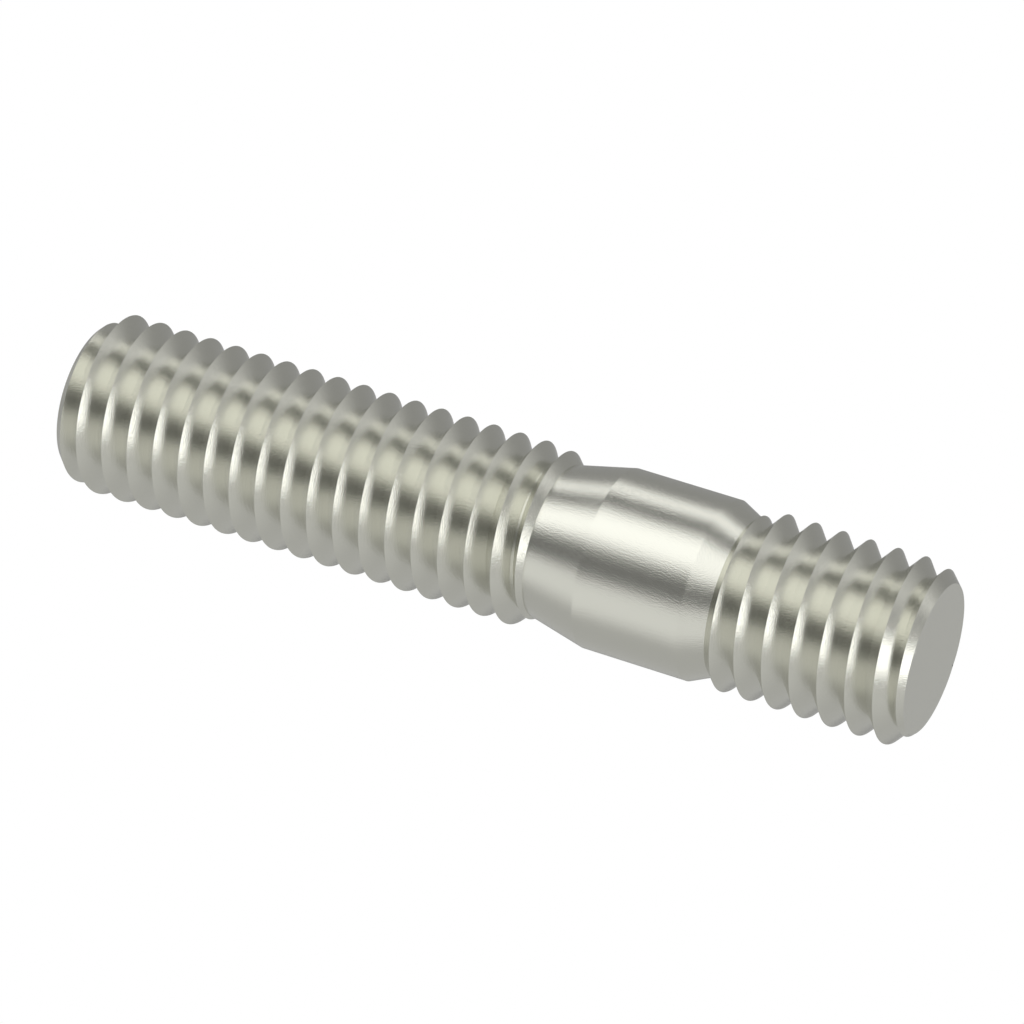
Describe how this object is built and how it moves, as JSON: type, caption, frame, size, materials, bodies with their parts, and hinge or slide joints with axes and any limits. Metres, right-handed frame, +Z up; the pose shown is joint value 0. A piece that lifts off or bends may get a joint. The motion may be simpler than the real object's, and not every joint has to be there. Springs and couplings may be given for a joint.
{
  "type": "stud bolt",
  "caption": "Double-end steel stud: a long thread for a nut, a plain shank with a cone at each end, and a short thread for a tapped hole.",
  "frame": {"origin": "centre of the flat end face of the long nut-end thread, on which the stud stands", "axes": "+Z up the stud's axis from the nut end to the tap end; the crest of the thread faces -Y at each whole pitch of height"},
  "size_m": [0.008, 0.008, 0.04],
  "materials": {
    "satin_steel": "satin stainless steel, turned and rolled"
  },
  "bodies": {
    "root": {"stud_bolt": "satin_steel"}
  },
  "joints": []
}
